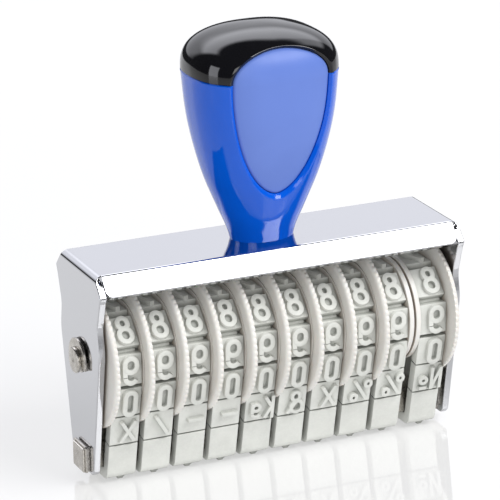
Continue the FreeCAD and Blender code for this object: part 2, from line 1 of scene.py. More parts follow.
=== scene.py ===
"""Dressed model of a hand-held band numbering stamp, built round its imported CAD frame.

Lengths are in millimetres here. They become metres where a mesh, lamp or camera is made.
"""
import math

import bmesh
import bpy
from mathutils import Matrix, Vector


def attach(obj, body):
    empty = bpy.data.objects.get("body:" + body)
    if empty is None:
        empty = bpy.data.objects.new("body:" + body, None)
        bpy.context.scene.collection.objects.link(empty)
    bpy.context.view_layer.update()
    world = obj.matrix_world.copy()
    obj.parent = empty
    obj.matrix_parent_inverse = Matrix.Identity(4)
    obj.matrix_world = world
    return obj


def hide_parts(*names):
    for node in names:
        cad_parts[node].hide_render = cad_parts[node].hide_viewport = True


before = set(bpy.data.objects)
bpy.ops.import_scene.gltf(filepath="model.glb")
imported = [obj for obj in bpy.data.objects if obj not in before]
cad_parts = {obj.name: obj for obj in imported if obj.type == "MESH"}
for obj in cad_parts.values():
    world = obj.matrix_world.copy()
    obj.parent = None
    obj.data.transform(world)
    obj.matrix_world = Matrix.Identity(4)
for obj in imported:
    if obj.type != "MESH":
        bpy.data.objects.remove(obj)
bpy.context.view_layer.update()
MM = 0.001

# Sizes shared with the CAD source
cell_pitch = 9.5
run_cells = 3
hub_sides = 8
band_width = 8.7
band_under = 0.5
band_over = 2.7
web_over = 0.6
web_side_notch = 1.1
cell_gap = 0.4
relief = 1.2
glyph_height = 8.7
sign_height = 7.8
glyph_width = 5.0
glyph_shift = 0.7
digit_stroke = 1.45
sign_stroke = 1.05
wheel_count = 10
web_thickness = 1.5
rim_radius = 20.3
rim_shoulder = 1.2
rim_teeth = 72
seat_side_play = 0.06
thin_flange = 0.7
end_flange = 1.4
flange_radius = 15.4
recess_depth = 0.85
recess_play = 0.3
hub_band_play = 0.3
hub_corner_play = 0.08
wheel_gap = 0.05
end_wheel_gap = 0.7
axle_play = 0.08
sheet = 2.0
side_play = 0.65
headroom = 6.15
top_depth = 26.2
lip_drop = 5.4
lip_flare = 4.2
lip_end_gap = 0.15
lip_bend = 1.0
side_bend = 2.3
ear_step = 0.9
waist_depth = 27.4
waist_drop = 15.5
flank_depth = 29.8
flank_rise = 5.6
foot_depth = 15.6
plate_clear_of_print = 3.3
plate_corner = 1.4
axle_radius = 3.75
hole_play = 0.08
axle_reach = 2.2
tab_reach = 1.7
groove_width = 0.8
groove_inset = 0.4
groove_depth = 0.8
clip_play = 0.05
axle_clip_radius = 6.3
axle_clip_open_angle = 150.0
anvil_height = 8.0
anvil_side_play = 0.25
tab_height = 7.2
tab_depth = 8.0
tab_lift = 0.15
anvil_clip_stand = 0.7
handle_height = 62.6
handle_half_width = 21.7
handle_half_depth = 19.3
cap_share = 0.208
panel_bottom_share = 0.248
panel_top_share = 0.932
panel_width_share = 0.666
panel_play = 0.15
panel_inset = 1.5
panel_bevel = 2.0
egg_taper_share = 1.15
dome_power = 2.9
screw_radius = 2.9

BODY_SHARES = (
    (0.0, 0.435, 0.347, 2.0),
    (0.050, 0.474, 0.400, 2.0),
    (0.150, 0.596, 0.530, 2.05),
    (0.300, 0.764, 0.700, 2.2),
    (0.450, 0.877, 0.840, 2.35),
    (0.600, 0.952, 0.940, 2.45),
    (1 - cap_share, 1.0, 1.0, 2.5),
)
DIGITS = ("1", None, "", "0", "9", "8", "7", "6", "5", "4", "3", "2")
SIGNS = ("cross", "slash", "dash", "dash", "kilo", "and", "cross", "percent", "percent", "number")
STROKE_SHARES = {
    "0": (("ring", 0, 0, 0.9, 1),),
    "1": (("bar", 0, -1, 0, 1), ("bar", -0.7, 0.5, 0, 0.84), ("bar", -0.7, -0.84, 0.7, -0.84)),
    "2": (("hook", 0, 0.38, 0.71, -20, 180), ("bar", -0.71, -0.84, 0.66, 0.24), ("bar", -1, -0.84, 1, -0.84)),
    "3": (("hook", 0, 0.44, 0.64, -90, 160), ("hook", 0, -0.4, 0.71, -160, 90)),
    "4": (("bar", 0.37, -1, 0.37, 1), ("bar", -0.74, -0.32, 0.37, 0.84), ("bar", -1, -0.32, 1, -0.32)),
    "5": (("bar", -0.74, 0.84, 1, 0.84), ("bar", -0.74, 0, -0.74, 1), ("hook", 0, -0.4, 0.71, -160, 140)),
    "6": (("ring", 0, -0.36, 1, 0.64), ("bar", -0.71, -0.3, -0.71, 0.425), ("hook", 0, 0.425, 0.71, 30, 180)),
    "7": (("bar", -1, 0.84, 1, 0.84), ("bar", -0.3, -1, 0.74, 0.84)),
    "8": (("ring", 0, 0.46, 0.86, 0.54), ("ring", 0, -0.38, 1, 0.62)),
    "9": (("ring", 0, 0.36, 1, 0.64), ("bar", 0.71, 0.3, 0.71, -0.425), ("hook", 0, -0.425, 0.71, -150, 0)),
    "cross": (("bar", -0.84, -0.88, 0.84, 0.88), ("bar", -0.84, 0.88, 0.84, -0.88)),
    "slash": (("bar", -0.84, -0.88, 0.84, 0.88),),
    "dash": (("bar", -1, 0, 1, 0),),
    "percent": (("bar", -0.84, -0.88, 0.84, 0.88), ("ring", -0.84, 0.54, 0.56, 0.4),
                ("ring", 0.84, -0.54, 0.56, 0.4)),
    "and": (("ring", 0.06, 0.52, 0.66, 0.48), ("ring", -0.12, -0.38, 0.88, 0.62),
            ("bar", -0.1, 0.14, 1, -0.9)),
    "kilo": (("bar", -1.2, -1, -1.2, 1), ("bar", -1.1, 0.05, -0.25, 0.92), ("bar", -1.1, 0.05, -0.25, -0.92),
             ("ring", 0.85, 0.1, 0.66, 0.4125), ("hook", 0.85, -0.38, 0.46, -160, 0),
             ("bar", 1.31, -0.4, 1.31, 0.5)),
    "number": (("bar", -1.2, -0.96, -1.2, 0.96), ("bar", -0.1, -0.96, -0.1, 0.96),
               ("bar", -1.2, 0.88, -0.1, -0.88), ("ring", 0.95, -0.1, 0.62, 0.3875),
               ("bar", 0.45, -0.78, 1.45, -0.78)),
}

# Sizes worked out from them
half_cell = cell_pitch / 2
apothem = half_cell / math.tan(math.pi / hub_sides)
run_drop = math.sqrt((run_cells * cell_pitch) ** 2 - (apothem - half_cell) ** 2)
foot_z = relief + band_over
axle_z = foot_z + run_drop + half_cell
seat = band_width + 2 * seat_side_play
wheel_pitch = web_thickness + seat + wheel_gap
end_wheel = web_thickness + seat + end_flange
stack = (wheel_count - 2) * wheel_pitch + 2 * end_wheel + end_wheel_gap
stack_left = -stack / 2
inner_half = stack / 2 + side_play
outer_half = inner_half + sheet
glyph_middle = band_width / 2 + glyph_shift
top_z = axle_z + rim_radius + headroom + sheet
under_z = top_z - sheet
top_half = top_depth / 2
lip_z = top_z - lip_drop
lip_inset = sheet * math.tan(math.atan2(lip_drop, lip_flare) / 2)
ear_half = top_half + lip_flare
hub_apothem = apothem - band_under - hub_band_play
hub_corner_radius = apothem - band_under - hub_corner_play
anvil_bottom = foot_z + band_under
tab_bottom = plate_clear_of_print + tab_lift
parting_z = top_z + handle_height * (1 - cap_share)
cap_top_z = top_z + handle_height
panel_half_width = handle_half_width * panel_width_share

# Sizes of the dressed model alone
merge_distance = 0.0002
hair = 1e-6
overrun = 3.0
sink = 0.02
cell_sink = 0.06
cell_edge = 0.22
foot_tip_corner = 0.25
foot_end_corner = 0.15
foot_inner_corner = 0.4
web_outer_corner = 0.9
web_inner_corner = 0.5
stroke_sink = 0.004
wheel_corner = 0.2
recess_corner = 0.15
recess_bore_corner = 0.1
seat_corner = 0.12
rim_inner_corner = 0.14
tooth_depth = 0.4
tooth_start = 0.45
tooth_fade = 0.55
tooth_shoulder = 0.9
hub_zone = 0.6
plate_fullness = 1.05
plate_crown = 0.35
plate_stations = [2.2 + 2.4 * k for k in range(24)]
top_stations = [2.6 + 3.0 * k for k in range(18)]
sheet_edge = 0.28
lip_tip_corner = 0.3
lip_inner_corner = 0.4
lip_end_corner = 2.0
FOOT_ROUNDING = ((0.0, 0.3), (0.1, 0.12), (0.3, 0.0))
slot_corner = 0.4
pin_end_radius = 0.7
pin_end_rise = 0.35
clip_edge = 0.14
bar_edge = 0.25
bar_corner = 1.2
tab_edge = 0.3
parting_step = 0.28
parting_depth = 0.3
pocket_depth = 2.2
pocket_lip = 0.12
panel_edge = 0.75
panel_wall = 2.1
panel_middle = parting_z - 6.0
dome_end = math.radians(89.4)
dome_opening = 0.2
ray_corner_share = 0.25
RAYS = 192
RAY_SHARES = [0.012] + [k / 26 for k in range(1, 27)]


# Mesh tools
def new_object(name, verts, faces, merge=0.0):
    """A mesh object with normals outwards, from points in millimetres."""
    mesh = bpy.data.meshes.new(name)
    mesh.from_pydata([Vector(v) * MM for v in verts], [], faces)
    work = bmesh.new()
    work.from_mesh(mesh)
    if merge:
        bmesh.ops.remove_doubles(work, verts=work.verts, dist=merge * MM)
    bmesh.ops.recalc_face_normals(work, faces=work.faces)
    work.to_mesh(mesh)
    work.free()
    made = bpy.data.objects.new(name, mesh)
    bpy.context.collection.objects.link(made)
    return made


def even_normals(piece):
    """Keep flats flat where they meet bevels."""
    modifier = piece.modifiers.new("even_normals", "WEIGHTED_NORMAL")
    modifier.keep_sharp = True
    modifier.weight = 50


def add_object(name, verts, faces, material, body, replaced, sharp, even=True):
    """A smooth-shaded piece that rides on a body in the place of a CAD node."""
    piece = new_object(name, verts, faces, merge_distance)
    piece.data.materials.append(material)
    piece.data.shade_smooth()
    piece.data.set_sharp_from_angle(angle=math.radians(sharp))
    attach(piece, body)
    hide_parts(replaced)
    if even:
        even_normals(piece)
    return piece


class Shells:
    """Closed shells gathered for one mesh."""

    def __init__(self):
        self.verts = []
        self.faces = []

    def add(self, verts, faces):
        start = len(self.verts)
        self.verts += verts
        self.faces += [tuple(start + i for i in face) for face in faces]


def skin(sections, closed=False, caps=True):
    """Faces between loops of equal length, with flat ends unless the run is closed."""
    count = len(sections[0])
    verts = [point for section in sections for point in section]
    faces = []
    for i in range(len(sections) if closed else len(sections) - 1):
        a, b = i * count, (i + 1) % len(sections) * count
        for k in range(count):
            n = (k + 1) % count
            faces.append((a + k, a + n, b + n, b + k))
    if caps and not closed:
        faces.append(tuple(range(count)))
        faces.append(tuple(range(len(verts) - count, len(verts))))
    return verts, faces


def between(a, b, share):
    """The point at a share of the way from a to b."""
    return tuple(p + (q - p) * share for p, q in zip(a, b))


def angles(start, end, steps):
    """Even steps from start to end, both included."""
    return [start + (end - start) * k / steps for k in range(steps + 1)]


def whole_turn(count):
    return angles(0, 2 * math.pi, count)[:-1]


def circle(radius, count, middle=(0, 0)):
    return [(middle[0] + radius * math.cos(a), middle[1] + radius * math.sin(a)) for a in whole_turn(count)]


def direction(a, b):
    """Unit vector from a to b and the normal on its left."""
    length = math.hypot(b[0] - a[0], b[1] - a[1])
    along = ((b[0] - a[0]) / length, (b[1] - a[1]) / length)
    return along, (-along[1], along[0])


def offset_loop(points, distance):
    """A closed outline moved towards its left-hand side."""
    moved = []
    for i, (u, v) in enumerate(points):
        before = direction(points[i - 1], points[i])[1]
        after = direction(points[i], points[(i + 1) % len(points)])[1]
        scale = distance / (1 + before[0] * after[0] + before[1] * after[1])
        moved.append((u + (before[0] + after[0]) * scale, v + (before[1] + after[1]) * scale))
    return moved


def turns_left(points):
    return sum(a[0] * b[1] - b[0] * a[1] for a, b in zip(points, points[1:] + points[:1])) >= 0


def rounded(points, radii, steps=4, closed=True):
    """An outline with each corner replaced by an arc of its own radius."""
    made = []
    count = len(points)
    if not hasattr(radii, "__len__"):
        radii = [radii] * count
    for i, radius in enumerate(radii):
        corner = points[i]
        if radius <= 0 or (not closed and i in (0, count - 1)):
            made.append(corner)
            continue
        back = direction(corner, points[i - 1])[0]
        ahead = direction(corner, points[(i + 1) % count])[0]
        half = math.acos(max(-1.0, min(1.0, back[0] * ahead[0] + back[1] * ahead[1]))) / 2
        cut = radius / math.tan(half)
        middle = (back[0] + ahead[0], back[1] + ahead[1])
        reach = radius / math.sin(half) / math.hypot(*middle)
        centre = (corner[0] + middle[0] * reach, corner[1] + middle[1] * reach)
        start, end = (math.atan2(corner[1] + way[1] * cut - centre[1], corner[0] + way[0] * cut - centre[0])
                      for way in (back, ahead))
        turn = (end - start + math.pi) % (2 * math.pi) - math.pi
        for a in angles(start, start + turn, steps):
            made.append((centre[0] + radius * math.cos(a), centre[1] + radius * math.sin(a)))
    return made


def soft_prism(outline, x0, x1, edge, radii, arc_steps):
    """A prism along X with rounded corners and rounded rims, from an outline in (y, z)."""
    if turns_left(outline):
        outline = outline[::-1]
        radii = radii[::-1] if hasattr(radii, "__len__") else radii
    sections = []
    for near, sign in ((x0, 1), (x1, -1)):
        loops = []
        for a in angles(0, math.pi / 2, 2):
            loop = rounded(offset_loop(outline, -edge * (1 - math.sin(a))), radii, arc_steps)
            loops.append([(near + sign * edge * (1 - math.cos(a)), y, z) for y, z in loop])
        sections += loops[::sign]
    return skin(sections)


def lathe(profile, count, radius_at=lambda x, r, a: r):
    """A body of revolution about the axle's line from a closed profile of (x, r)."""
    sections = []
    for a in whole_turn(count):
        turned = [(x, radius_at(x, r, a)) for x, r in profile]
        sections.append([(x, -r * math.sin(a), axle_z + r * math.cos(a)) for x, r in turned])
    return skin(sections, closed=True)


# Materials
def add_node(tree, kind, inputs, settings):
    """A node with its settings, and each input linked to a socket or set to a value."""
    made = tree.nodes.new(kind)
    for key, value in settings.items():
        setattr(made, key, value)
    for key, value in inputs.items():
        if isinstance(value, bpy.types.NodeSocket):
            tree.links.new(value, made.inputs[key])
        else:
            made.inputs[key].default_value = value
    return made


class Nodes:
    """A short way to build a material's node tree."""

    def __init__(self, name):
        self.material = bpy.data.materials.new(name)
        self.material.use_nodes = True
        self.tree = self.material.node_tree
        self.shader = self.tree.nodes["Principled BSDF"]
        self.place = self.node("ShaderNodeTexCoord").outputs["Object"]

    def node(self, kind, inputs=None, **settings):
        return add_node(self.tree, kind, inputs or {}, settings)

    def set(self, **values):
        """Constants on the shader's own sockets."""
        for key, value in values.items():
            self.shader.inputs[key.replace("_", " ")].default_value = value

    def link(self, output, socket):
        self.tree.links.new(output, self.shader.inputs[socket])

    def noise(self, scale, detail=3.0, roughness=0.5, stretch=None, distortion=0.0):
        """Noise in object space; scale is in features per metre."""
        place = self.place
        if stretch:
            place = self.node("ShaderNodeMapping", {"Vector": place, "Scale": stretch}).outputs["Vector"]
        inputs = {"Vector": place, "Scale": scale, "Detail": detail, "Roughness": roughness,
                  "Distortion": distortion}
        return self.node("ShaderNodeTexNoise", inputs).outputs["Fac"]

    def spread(self, value, low, high, start=0.3, end=0.7):
        """A value from start..end mapped to low..high."""
        return self.node("ShaderNodeMapRange", {"Value": value, "From Min": start, "From Max": end,
                                                "To Min": low, "To Max": high}).outputs["Result"]

    def total(self, a, b):
        return self.node("ShaderNodeMath", {0: a, 1: b}, operation="ADD").outputs[0]

    def mix(self, share, a, b):
        return self.node("ShaderNodeMix", {"Factor": share, "A": a, "B": (*b, 1)},
                         data_type="RGBA").outputs["Result"]

    def colours(self, value, *stops):
        ramp = self.node("ShaderNodeValToRGB", {"Fac": value})
        for element, (position, colour) in zip(ramp.color_ramp.elements, stops):
            element.position = position
            element.color = (*colour, 1)
        return ramp.outputs["Color"]

    def bump(self, height, strength, distance, **after):
        """A bump that is added to the Normal given, if any."""
        return self.node("ShaderNodeBump", {"Height": height, "Strength": strength, "Distance": distance,
                                            **after}).outputs["Normal"]

    def painted_crevice_shade(self, unshaded, shade, reach, start, end):
        """The unshaded colour with painted shade: mixed towards the shade colour where ambient occlusion
        finds the surface hemmed in within this reach.
        """
        hemmed = self.node("ShaderNodeAmbientOcclusion", {"Distance": reach}, samples=6).outputs["AO"]
        return self.mix(self.spread(hemmed, 1.0, 0.0, start, end), unshaded, shade)


def chrome():
    """Bright nickel-chrome sheet: long soft waves, fine rub marks and a light haze of fingerprints."""
    n = Nodes("chromed_sheet")
    n.set(Base_Color=(0.55, 0.555, 0.575, 1), Metallic=1.0)
    haze = n.noise(60.0, 4.0, 0.6)
    marks = n.noise(900.0, 2.0, 0.5, (1.0, 14.0, 14.0))
    n.link(n.total(n.spread(haze, 0.035, 0.085), n.spread(marks, 0.0, 0.03, 0.55, 0.8)), "Roughness")
    wave = n.bump(n.noise(26.0, 1.0, 0.4), 0.12, 0.0006)
    n.link(n.bump(marks, 0.02, 0.0001, Normal=wave), "Normal")
    return n.material


def steel():
    """Plain nickel-plated steel with turned and rubbed lines."""
    n = Nodes("steel")
    tone = n.noise(300.0, 4.0, 0.6)
    n.link(n.colours(tone, (0.3, (0.40, 0.375, 0.34)), (0.7, (0.60, 0.575, 0.535))), "Base Color")
    n.set(Metallic=1.0)
    lines = n.noise(1400.0, 2.0, 0.6, (6.0, 1.0, 1.0))
    n.link(n.spread(lines, 0.2, 0.38), "Roughness")
    n.link(n.bump(lines, 0.12, 0.0001), "Normal")
    return n.material


def gloss_plastic(name, dark, light, low, high, orange_peel, wear):
    """Moulded gloss plastic: slight colour flow, rubbed patches, hair scratches and an orange-peel skin."""
    n = Nodes(name)
    flow = n.noise(35.0, 3.0, 0.5, None, 0.6)
    n.link(n.colours(flow, (0.25, dark), (0.75, light)), "Base Color")
    rub = n.noise(90.0, 5.0, 0.65)
    scratches = n.noise(1300.0, 2.0, 0.5, (1.0, 1.0, 9.0))
    n.link(n.total(n.spread(rub, low, high), n.spread(scratches, 0.0, wear, 0.6, 0.8)), "Roughness")
    peel = n.bump(n.noise(420.0, 2.0, 0.5), orange_peel, 0.0001)
    n.link(n.bump(scratches, 0.02, 0.00005, Normal=peel), "Normal")
    n.set(IOR=1.5)
    return n.material


def wheel_plastic():
    """Ivory-white satin nylon, a little translucent, with grey handling marks and painted brownish shade in
    its hollows.
    """
    n = Nodes("wheel_plastic")
    tone = n.noise(45.0, 4.0, 0.55)
    grime = n.noise(260.0, 4.0, 0.7)
    unshaded = n.colours(tone, (0.3, (0.80, 0.78, 0.74)), (0.7, (0.86, 0.845, 0.81)))
    mixed = n.mix(n.spread(grime, 0.0, 0.16, 0.5, 0.75), unshaded, (0.58, 0.53, 0.47))
    # Painted shade: the colour turns brownish grey wherever ambient occlusion finds the wheel hemmed in
    # within 5 mm, as between rims and bands.
    n.link(n.painted_crevice_shade(mixed, (0.42, 0.36, 0.30), 0.005, 0.1, 0.75), "Base Color")
    n.link(n.spread(tone, 0.33, 0.46), "Roughness")
    n.link(n.bump(n.noise(700.0, 3.0, 0.6), 0.1, 0.0001), "Normal")
    n.set(Subsurface_Weight=0.12, Subsurface_Scale=0.001, Subsurface_Radius=(1.0, 0.8, 0.6), IOR=1.5)
    return n.material


def rubber():
    """Pale grey matt rubber with talc dust and fine pores, and painted shade in its crevices."""
    n = Nodes("rubber")
    tone = n.noise(120.0, 5.0, 0.6)
    dust = n.noise(1500.0, 3.0, 0.7)
    base = n.colours(tone, (0.3, (0.655, 0.665, 0.63)), (0.7, (0.765, 0.775, 0.735)))
    mixed = n.mix(n.spread(dust, 0.0, 0.3, 0.45, 0.75), base, (0.84, 0.85, 0.82))
    # Painted shade: the colour turns dark grey in digit counters, grooves and gaps, wherever ambient
    # occlusion finds the rubber hemmed in within 2.4 mm.
    n.link(n.painted_crevice_shade(mixed, (0.30, 0.31, 0.285), 0.0024, 0.2, 0.8), "Base Color")
    n.link(n.spread(tone, 0.62, 0.82), "Roughness")
    fine = n.bump(n.noise(2600.0, 4.0, 0.65), 0.25, 0.0001)
    n.link(n.bump(n.noise(240.0, 2.0, 0.5), 0.15, 0.0002, Normal=fine), "Normal")
    n.set(Specular_IOR_Level=0.3)
    return n.material


CHROME = chrome()
STEEL = steel()
BLUE = gloss_plastic("blue_plastic", (0.0, 0.095, 0.63), (0.0, 0.112, 0.72), 0.05, 0.10, 0.02, 0.08)
PANEL = gloss_plastic("panel_plastic", (0.115, 0.20, 0.60), (0.135, 0.23, 0.66), 0.42, 0.50, 0.03, 0.06)
BLACK = gloss_plastic("black_plastic", (0.003, 0.003, 0.004), (0.006, 0.006, 0.008), 0.04, 0.08, 0.015, 0.08)
IVORY = wheel_plastic()
RUBBER = rubber()


# Rubber bands
NEUTRAL = (
    (-half_cell, foot_z),
    (-apothem, axle_z - half_cell),
    (-apothem, axle_z + half_cell),
    (-half_cell, axle_z + apothem),
    (half_cell, axle_z + apothem),
    (apothem, axle_z + half_cell),
    (apothem, axle_z - half_cell),
    (half_cell, foot_z),
)


def cells():
    """Middle, direction and normal of each band cell, the printing cell first, then up the front."""
    places = []
    for i in range(-1, len(NEUTRAL) - 1):
        a, b = NEUTRAL[i], NEUTRAL[i + 1]
        parts = round(math.dist(a, b) / cell_pitch)
        for k in range(parts):
            places.append((between(a, b, (k + 0.5) / parts), *direction(a, b)))
    return places


def on_cell(place, along, above):
    """The point at a distance along a cell from its middle, and above its neutral line."""
    middle, tangent, normal = place
    return tuple(m + t * along + n * above for m, t, n in zip(middle, tangent, normal))


def centre_line(kind, values, stroke, height):
    """Points along the middle of one stroke, and whether it closes, reversed left to right."""
    w, h = glyph_width / 2, height / 2
    if kind == "bar":
        u0, v0, u1, v1 = values
        points = [(u0 * w, v0 * h), (u1 * w, v1 * h)]
    elif kind == "ring":
        u, v, half_width, half_height = values
        a, b = half_width * w - stroke / 2, half_height * h - stroke / 2
        r = min(a, b)
        points = [(u * w + r * math.cos(t) + math.copysign(a - r, math.cos(t)),
                   v * h + r * math.sin(t) + math.copysign(b - r, math.sin(t))) for t in whole_turn(48)]
    else:
        u, v, radius, start, end = values
        turn = angles(math.radians(start), math.radians(end), max(6, int(abs(end - start) / 7)))
        points = [(u * w + radius * w * math.cos(t), v * h + radius * w * math.sin(t)) for t in turn]
    return [(-u, v) for u, v in points], kind == "ring"


# One side of a raised stroke's section: growth of the half width, height over the cell
STROKE_SIDE = ((0.14, -0.25), (0.05, 0.08), (0.0, 0.25),
               (0.0, relief - 0.12), (-0.03, relief - 0.04), (-0.11, relief))
STROKE_SECTION = [(-1, *row) for row in STROKE_SIDE] + [(1, *row) for row in reversed(STROKE_SIDE)]


def raised_stroke(kind, values, stroke, height, lowered):
    """One raised stroke as a closed shell of (u, v, rise)."""
    points, closed = centre_line(kind, values, stroke, height)
    sections = []
    for i, (u, v) in enumerate(points):
        before = points[i - 1] if closed or i > 0 else None
        after = points[(i + 1) % len(points)] if closed or i < len(points) - 1 else None
        along, across = direction(before or points[i], after or points[i])
        end = (0 if before else -1) + (0 if after else 1)
        section = []
        for side, growth, rise in STROKE_SECTION:
            out = side * (stroke / 2 + growth)
            section.append((u + across[0] * out + along[0] * end * growth,
                            v + across[1] * out + along[1] * end * growth, rise - lowered))
        sections.append(section)
    return skin(sections, closed=closed)


def glyph_shells(name):
    """All strokes of a character, each set a hair lower than the last so that no faces coincide."""
    stroke, height = (sign_stroke, sign_height) if name in SIGNS else (digit_stroke, glyph_height)
    return [raised_stroke(kind, values, stroke, height, stroke_sink * k)
            for k, (kind, *values) in enumerate(STROKE_SHARES[name])]


def meet(p, along_p, q, along_q):
    """Where two lines cross."""
    cross = along_p[0] * along_q[1] - along_p[1] * along_q[0]
    t = ((q[0] - p[0]) * along_q[1] - (q[1] - p[1]) * along_q[0]) / cross
    return (p[0] + along_p[0] * t, p[1] + along_p[1] * t)


def foot_outline(places):
    """The U of the three lowest cells with sharp corners, and the radius that each corner gets."""
    foot, front, rear = places[0], places[1], places[-1]
    reach = half_cell - cell_gap / 2
    tips = []
    bends = []
    for above in (cell_sink - band_under, band_over):
        front_tip, rear_tip = on_cell(front, reach, above), on_cell(rear, -reach, above)
        level = on_cell(foot, 0, above)
        tips.append((front_tip, rear_tip))
        bends.append((meet(front_tip, front[1], level, foot[1]), meet(rear_tip, rear[1], level, foot[1])))
    (front_in, rear_in), (front_out, rear_out) = tips
    outline = [front_out, front_in, *bends[0], rear_in, rear_out, *bends[1][::-1]]
    return outline, [foot_tip_corner, foot_end_corner, foot_inner_corner, foot_inner_corner, foot_end_corner,
                     foot_tip_corner, band_over, band_over]


def band_shells(sign):
    """Every shell of one band, with its left edge at x = 0."""
    shells = Shells()
    places = cells()
    reach = half_cell - cell_gap / 2
    outer = rounded(offset_loop(NEUTRAL, web_over), web_outer_corner)
    inner = rounded(offset_loop(NEUTRAL, -band_under), web_inner_corner)
    left, right = web_side_notch, band_width - web_side_notch
    web = [[(left, *o), (right, *o), (right, *i), (left, *i)] for o, i in zip(outer, inner)]
    shells.add(*skin(web, closed=True))
    outline, radii = foot_outline(places)
    shells.add(*soft_prism(outline, 0, band_width, cell_edge, radii, 6))
    low, high = cell_sink - band_under, band_over
    block = ((-reach, low), (-reach, high), (reach, high), (reach, low))
    for place in places[2:-1]:
        corners = [on_cell(place, along, above) for along, above in block]
        shells.add(*soft_prism(corners, 0, band_width, cell_edge, cell_edge, 3))
    for name, place in zip([sign if d == "" else d for d in DIGITS], places):
        if name:
            for verts, faces in glyph_shells(name):
                verts = [(glyph_middle + u, *on_cell(place, v, band_over + rise)) for u, v, rise in verts]
                shells.add(verts, faces)
    return shells


# Thumb wheels
def wheel_places():
    """Rim face, direction, flange and recess of each wheel, then the left edge of its band."""
    places = []
    for k in range(wheel_count - 1):
        x_outer = stack_left + k * wheel_pitch
        flange = thin_flange if k < wheel_count - 2 else end_flange
        places.append((x_outer, 1, flange, k > 0, x_outer + web_thickness + seat_side_play))
    band_left = -stack_left - web_thickness - seat_side_play - band_width
    return places + [(-stack_left, -1, end_flange, False, band_left)]


def wheel_profile(flange, has_recess):
    """Closed profile of a wheel as (x, r), its rim face at x = 0."""
    bore = axle_radius + axle_play
    inner_x = web_thickness + seat
    end_x = inner_x + flange
    corners = [(end_x, bore), (end_x, flange_radius), (inner_x, flange_radius), (inner_x, hub_apothem),
               (web_thickness, hub_apothem), (web_thickness, rim_radius), (0, rim_radius)]
    radii = [wheel_corner, wheel_corner, seat_corner, wheel_corner, wheel_corner, rim_inner_corner,
             rim_shoulder]
    if has_recess:
        recess = flange_radius + recess_play
        corners += [(0, recess), (recess_depth, recess), (recess_depth, bore)]
        radii += [wheel_corner, recess_corner, recess_bore_corner]
    else:
        corners += [(0, bore)]
        radii += [wheel_corner]
    return rounded(corners, radii, 5)


def wheel_radius(x, r, a):
    """The radius at an angle: eight flats on the hub, and small ridges on the rim's inner edge."""
    if x > web_thickness - hair and axle_radius + 1 < r < hub_apothem + hub_zone:
        step = 2 * math.pi / hub_sides
        off = (a + step / 2) % step - step / 2
        return r * min(hub_apothem / math.cos(off), hub_corner_radius) / hub_apothem
    if r > rim_radius - rim_shoulder:
        weight = max(0.0, min(1.0, (x - tooth_start) / tooth_fade))
        weight *= max(0.0, min(1.0, (r - rim_radius + rim_shoulder) / tooth_shoulder))
        return r - tooth_depth * weight * (1 - abs(math.sin(rim_teeth / 2 * a)))
    return r


def make_wheels_and_bands():
    for k, (x_outer, inward, flange, has_recess, band_left) in enumerate(wheel_places()):
        number = "%02d" % (k + 1)
        verts, faces = lathe(wheel_profile(flange, has_recess), rim_teeth * 6, wheel_radius)
        verts = [(x_outer + inward * x, y, z) for x, y, z in verts]
        add_object("thumb_wheel_" + number, verts, faces, IVORY, "wheel_" + number, "number_wheel_" + number,
                   50.0)
        band = band_shells(SIGNS[k])
        verts = [(x + band_left, y, z) for x, y, z in band.verts]
        add_object("rubber_band_" + number, verts, band.faces, RUBBER, "stamp_body", "number_band_" + number,
                   35.0)


make_wheels_and_bands()


# Chromed frame: one closed skin that follows the bent sheet from foot to foot
def plate_edge():
    """The side plates' half width from the foot up to the top, as (half width, z) with round corners."""
    foot = foot_depth / 2
    corners = [(foot - plate_corner, plate_clear_of_print), (foot, plate_clear_of_print + plate_corner),
               (flank_depth / 2, axle_z + flank_rise), (waist_depth / 2, top_z - waist_drop),
               (ear_half - ear_step, lip_z - 2 * ear_step), (ear_half, lip_z),
               (top_half + plate_fullness, under_z), (top_half, top_z - plate_crown), (top_half, top_z)]
    radii = [0, 1.0, 12.0, 7.0, 1.2, 0.7, 1.0, 0.3, 0]
    return rounded(corners, radii, 6, closed=False)


PLATE_EDGE = plate_edge()
END_STEPS = 4
BEND_STEPS = 6


def half_width_at(z):
    for (w0, z0), (w1, z1) in zip(PLATE_EDGE, PLATE_EDGE[1:]):
        if z0 <= z <= z1 and z1 > z0:
            return w0 + (w1 - w0) * (z - z0) / (z1 - z0)
    return PLATE_EDGE[-1][0] if z > top_z else PLATE_EDGE[0][0]


def edge_points(half):
    """The plain rounded edge of the sheet: (half width, share of the thickness), outer side first."""
    share = sheet_edge / sheet
    quarter = angles(0, math.pi / 2, BEND_STEPS)
    start = half - sheet_edge
    points = [(start + sheet_edge * math.sin(a), share * (1 - math.cos(a))) for a in quarter]
    points += [(half, share + (1 - 2 * share) * k / END_STEPS) for k in range(1, END_STEPS)]
    return points + [(start + sheet_edge * math.cos(a), 1 - share + share * math.sin(a)) for a in quarter]


